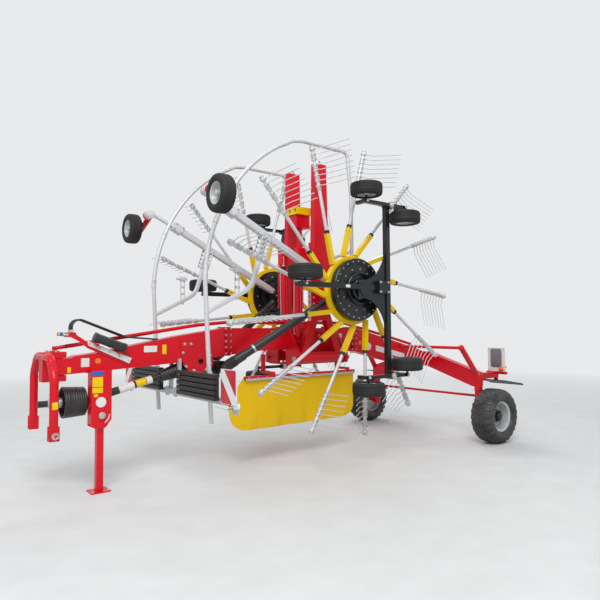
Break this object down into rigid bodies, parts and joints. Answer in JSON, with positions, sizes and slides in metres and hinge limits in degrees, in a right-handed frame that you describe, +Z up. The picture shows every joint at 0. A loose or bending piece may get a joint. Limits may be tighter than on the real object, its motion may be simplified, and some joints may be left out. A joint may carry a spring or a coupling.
{
  "type": "folded twin-rotor centre-swath rotary rake",
  "caption": "Towed centre-swath rake folded upright for the road: tined rotors on booms, steered rear axle, two-point headstock, swath curtain and parking stand.",
  "frame": {"origin": "on the ground, at the middle of the folded machine's box", "axes": "+X to the hitch at the front, +Y to the machine's left, +Z up"},
  "size_m": [6.48, 2.97, 4.0333],
  "materials": {
    "red_paint": "gloss red paint",
    "yellow_paint": "gloss yellow paint",
    "white_paint": "satin white paint",
    "black_paint": "satin black paint",
    "galvanised": "dull galvanised steel",
    "chromed_rod": "chromed rod",
    "silver_rim": "silver paint",
    "tyre": "matt tread",
    "black_rubber": "matt rubber",
    "black_plastic": "matt plastic",
    "board": "reflecting board, plain",
    "lens": "lens",
    "curtain_cloth": "coated cloth, yellow"
  },
  "bodies": {
    "frame": {"main_beam": "red_paint", "centre_frame": "red_paint", "mast_head": "yellow_paint", "axle_beam": "red_paint", "hose_guide": "red_paint", "hoses": "black_rubber", "document_tube": "black_plastic", "crossbar": "galvanised", "marker_boards": "board", "lamps": "lens", "ribbed_guards": "black_rubber", "pto_shaft": "black_plastic", "gearbox": "black_paint", "mud_flaps": "black_rubber", "curtain_bar": "red_paint", "swath_curtain": "curtain_cloth"},
    "hitch": {"headstock": "red_paint"},
    "steering_rod": {"steering_rod": "red_paint"},
    "tie_rod": {"tie_rod": "red_paint"},
    "stand": {"stand_leg": "red_paint"},
    "knuckle_l": {"knuckle_l": "red_paint"},
    "rear_wheel_l": {"rear_tyre_l": "tyre", "rear_rim_l": "silver_rim"},
    "boom_l": {"boom_l": "red_paint"},
    "carriage_l": {"carriage_l": "red_paint", "chassis_l": "black_paint", "guard_l": "white_paint"},
    "lift_barrel_l": {"lift_barrel_l": "red_paint"},
    "lift_rod_l": {"lift_rod_l": "chromed_rod"},
    "drive_tube_l": {"drive_tube_l": "black_plastic"},
    "drive_rod_l": {"drive_rod_l": "black_plastic"},
    "rotor_l": {"rotor_head_l": "yellow_paint", "tine_arms_l": "white_paint"},
    "wheel_front_l": {"wheel_front_l": "tyre"},
    "wheel_outer_a_l": {"wheel_outer_a_l": "tyre"},
    "wheel_outer_b_l": {"wheel_outer_b_l": "tyre"},
    "wheel_inner_a_l": {"wheel_inner_a_l": "tyre"},
    "wheel_inner_b_l": {"wheel_inner_b_l": "tyre"},
    "sensing_fork_l": {"sensing_fork_l": "red_paint"},
    "sensing_wheel_l": {"sensing_wheel_l": "tyre"},
    "knuckle_r": {"knuckle_r": "red_paint"},
    "rear_wheel_r": {"rear_tyre_r": "tyre", "rear_rim_r": "silver_rim"},
    "boom_r": {"boom_r": "red_paint"},
    "carriage_r": {"carriage_r": "red_paint", "chassis_r": "black_paint", "guard_r": "white_paint"},
    "lift_barrel_r": {"lift_barrel_r": "red_paint"},
    "lift_rod_r": {"lift_rod_r": "chromed_rod"},
    "drive_tube_r": {"drive_tube_r": "black_plastic"},
    "drive_rod_r": {"drive_rod_r": "black_plastic"},
    "rotor_r": {"rotor_head_r": "yellow_paint", "tine_arms_r": "white_paint"},
    "wheel_front_r": {"wheel_front_r": "tyre"},
    "wheel_outer_a_r": {"wheel_outer_a_r": "tyre"},
    "wheel_outer_b_r": {"wheel_outer_b_r": "tyre"},
    "wheel_inner_a_r": {"wheel_inner_a_r": "tyre"},
    "wheel_inner_b_r": {"wheel_inner_b_r": "tyre"},
    "sensing_fork_r": {"sensing_fork_r": "red_paint"},
    "sensing_wheel_r": {"sensing_wheel_r": "tyre"}
  },
  "joints": [
    {"name": "headstock_turn", "type": "hinge", "parent": "frame", "child": "hitch", "pos_m": [3.06, 0, 1.3], "axis": [0, 0, 1], "range_deg": [-60, 60]},
    {"name": "steering_rod_slide", "type": "slide", "parent": "frame", "child": "steering_rod", "axis": [1, 0, 0], "range_m": [-0.1, 0.1]},
    {"name": "knuckle_l_steer", "type": "hinge", "parent": "frame", "child": "knuckle_l", "pos_m": [-2.64, 1.06, 0.7], "axis": [0, 0, 1], "range_deg": [-24.5, 24.5]},
    {"name": "rear_wheel_l_roll", "type": "hinge", "parent": "knuckle_l", "child": "rear_wheel_l", "pos_m": [-2.64, 1.315, 0.39], "axis": [0, 1, 0], "continuous": true},
    {"name": "knuckle_r_steer", "type": "hinge", "parent": "frame", "child": "knuckle_r", "pos_m": [-2.64, -1.06, 0.7], "axis": [0, 0, 1], "range_deg": [-24.5, 24.5]},
    {"name": "rear_wheel_r_roll", "type": "hinge", "parent": "knuckle_r", "child": "rear_wheel_r", "pos_m": [-2.64, -1.315, 0.39], "axis": [0, 1, 0], "continuous": true},
    {"name": "tie_rod_slide", "type": "slide", "parent": "frame", "child": "tie_rod", "axis": [0, 1, 0], "range_m": [-0.095, 0.095]},
    {"name": "stand_fold", "type": "hinge", "parent": "frame", "child": "stand", "pos_m": [2.67, 0.158, 0.79], "axis": [0, 1, 0], "range_deg": [0, 90]},
    {"name": "boom_l_fold", "type": "hinge", "parent": "frame", "child": "boom_l", "pos_m": [-0.205, 0.33, 1.28], "axis": [-1, 0, 0], "range_deg": [0, 90]},
    {"name": "carriage_l_slide", "type": "slide", "parent": "boom_l", "child": "carriage_l", "axis": [0, 0, 1], "range_m": [0, 1.051]},
    {"name": "lift_barrel_l_swing", "type": "hinge", "parent": "frame", "child": "lift_barrel_l", "pos_m": [0.06, 0.14, 1.5], "axis": [-1, 0, 0], "range_deg": [0, 90.8]},
    {"name": "lift_rod_l_slide", "type": "slide", "parent": "lift_barrel_l", "child": "lift_rod_l", "axis": [0, 0.025, 0.9997], "range_m": [0, 0.4117]},
    {"name": "drive_tube_l_swing", "type": "hinge", "parent": "frame", "child": "drive_tube_l", "pos_m": [1.21, 0.2203, 1.215], "axis": [-0.9368, 0.3408, -0.0786], "range_deg": [0, 97.01]},
    {"name": "drive_rod_l_slide", "type": "slide", "parent": "drive_tube_l", "child": "drive_rod_l", "axis": [-0.8106, 0.2637, 0.5228], "range_m": [0, 0.7412]},
    {"name": "rotor_l_spin", "type": "hinge", "parent": "carriage_l", "child": "rotor_l", "pos_m": [-0.255, 0.88, 2.157], "axis": [0, 1, 0], "continuous": true},
    {"name": "wheel_front_l_roll", "type": "hinge", "parent": "carriage_l", "child": "wheel_front_l", "pos_m": [0.755, 1.22, 2.309], "axis": [0, 0, 1], "continuous": true},
    {"name": "wheel_outer_a_l_roll", "type": "hinge", "parent": "carriage_l", "child": "wheel_outer_a_l", "pos_m": [-0.205, 1.22, 3.379], "axis": [0, 0, 1], "continuous": true},
    {"name": "wheel_outer_b_l_roll", "type": "hinge", "parent": "carriage_l", "child": "wheel_outer_b_l", "pos_m": [-0.895, 1.22, 3.105], "axis": [0, 0, 1], "continuous": true},
    {"name": "wheel_inner_a_l_roll", "type": "hinge", "parent": "carriage_l", "child": "wheel_inner_a_l", "pos_m": [-0.205, 1.22, 0.935], "axis": [0, 0, 1], "continuous": true},
    {"name": "wheel_inner_b_l_roll", "type": "hinge", "parent": "carriage_l", "child": "wheel_inner_b_l", "pos_m": [-0.895, 1.22, 1.209], "axis": [0, 0, 1], "continuous": true},
    {"name": "sensing_fork_l_swivel", "type": "hinge", "parent": "carriage_l", "child": "sensing_fork_l", "pos_m": [1.755, 0.82, 3.167], "axis": [0, 1, 0], "continuous": true},
    {"name": "sensing_wheel_l_roll", "type": "hinge", "parent": "sensing_fork_l", "child": "sensing_wheel_l", "pos_m": [1.825, 1.22, 3.037], "axis": [1, 0, 0], "continuous": true},
    {"name": "boom_r_fold", "type": "hinge", "parent": "frame", "child": "boom_r", "pos_m": [-0.205, -0.33, 1.28], "axis": [1, 0, 0], "range_deg": [0, 90]},
    {"name": "carriage_r_slide", "type": "slide", "parent": "boom_r", "child": "carriage_r", "axis": [0, 0, 1], "range_m": [0, 1.051]},
    {"name": "lift_barrel_r_swing", "type": "hinge", "parent": "frame", "child": "lift_barrel_r", "pos_m": [0.06, -0.14, 1.5], "axis": [1, 0, 0], "range_deg": [0, 90.8]},
    {"name": "lift_rod_r_slide", "type": "slide", "parent": "lift_barrel_r", "child": "lift_rod_r", "axis": [0, -0.025, 0.9997], "range_m": [0, 0.4117]},
    {"name": "drive_tube_r_swing", "type": "hinge", "parent": "frame", "child": "drive_tube_r", "pos_m": [1.21, -0.2203, 1.215], "axis": [0.9368, 0.3408, 0.0786], "range_deg": [0, 97.01]},
    {"name": "drive_rod_r_slide", "type": "slide", "parent": "drive_tube_r", "child": "drive_rod_r", "axis": [-0.8106, -0.2637, 0.5228], "range_m": [0, 0.7412]},
    {"name": "rotor_r_spin", "type": "hinge", "parent": "carriage_r", "child": "rotor_r", "pos_m": [-0.255, -0.88, 2.157], "axis": [0, 1, 0], "continuous": true},
    {"name": "wheel_front_r_roll", "type": "hinge", "parent": "carriage_r", "child": "wheel_front_r", "pos_m": [0.755, -1.22, 2.309], "axis": [0, 0, 1], "continuous": true},
    {"name": "wheel_outer_a_r_roll", "type": "hinge", "parent": "carriage_r", "child": "wheel_outer_a_r", "pos_m": [-0.205, -1.22, 3.379], "axis": [0, 0, 1], "continuous": true},
    {"name": "wheel_outer_b_r_roll", "type": "hinge", "parent": "carriage_r", "child": "wheel_outer_b_r", "pos_m": [-0.895, -1.22, 3.105], "axis": [0, 0, 1], "continuous": true},
    {"name": "wheel_inner_a_r_roll", "type": "hinge", "parent": "carriage_r", "child": "wheel_inner_a_r", "pos_m": [-0.205, -1.22, 0.935], "axis": [0, 0, 1], "continuous": true},
    {"name": "wheel_inner_b_r_roll", "type": "hinge", "parent": "carriage_r", "child": "wheel_inner_b_r", "pos_m": [-0.895, -1.22, 1.209], "axis": [0, 0, 1], "continuous": true},
    {"name": "sensing_fork_r_swivel", "type": "hinge", "parent": "carriage_r", "child": "sensing_fork_r", "pos_m": [1.755, -0.82, 3.167], "axis": [0, 1, 0], "continuous": true},
    {"name": "sensing_wheel_r_roll", "type": "hinge", "parent": "sensing_fork_r", "child": "sensing_wheel_r", "pos_m": [1.825, -1.22, 3.037], "axis": [1, 0, 0], "continuous": true}
  ],
  "couplings": [
    {"joint": "steering_rod_slide", "follows": "headstock_turn", "m_per_rad": 0.087},
    {"joint": "knuckle_l_steer", "follows": "headstock_turn", "ratio": -0.4},
    {"joint": "knuckle_r_steer", "follows": "headstock_turn", "ratio": -0.4},
    {"joint": "tie_rod_slide", "follows": "headstock_turn", "m_per_rad": 0.08148},
    {"joint": "carriage_l_slide", "follows": "boom_l_fold", "m_per_rad": 0.66845},
    {"joint": "lift_barrel_l_swing", "follows": "boom_l_fold", "ratio": 1.0078},
    {"joint": "lift_rod_l_slide", "follows": "boom_l_fold", "m_per_rad": 0.26149},
    {"joint": "drive_tube_l_swing", "follows": "boom_l_fold", "ratio": 1.0768},
    {"joint": "drive_rod_l_slide", "follows": "boom_l_fold", "m_per_rad": 0.47123},
    {"joint": "carriage_r_slide", "follows": "boom_r_fold", "m_per_rad": 0.66845},
    {"joint": "lift_barrel_r_swing", "follows": "boom_r_fold", "ratio": 1.0078},
    {"joint": "lift_rod_r_slide", "follows": "boom_r_fold", "m_per_rad": 0.26149},
    {"joint": "drive_tube_r_swing", "follows": "boom_r_fold", "ratio": 1.0768},
    {"joint": "drive_rod_r_slide", "follows": "boom_r_fold", "m_per_rad": 0.47123}
  ]
}
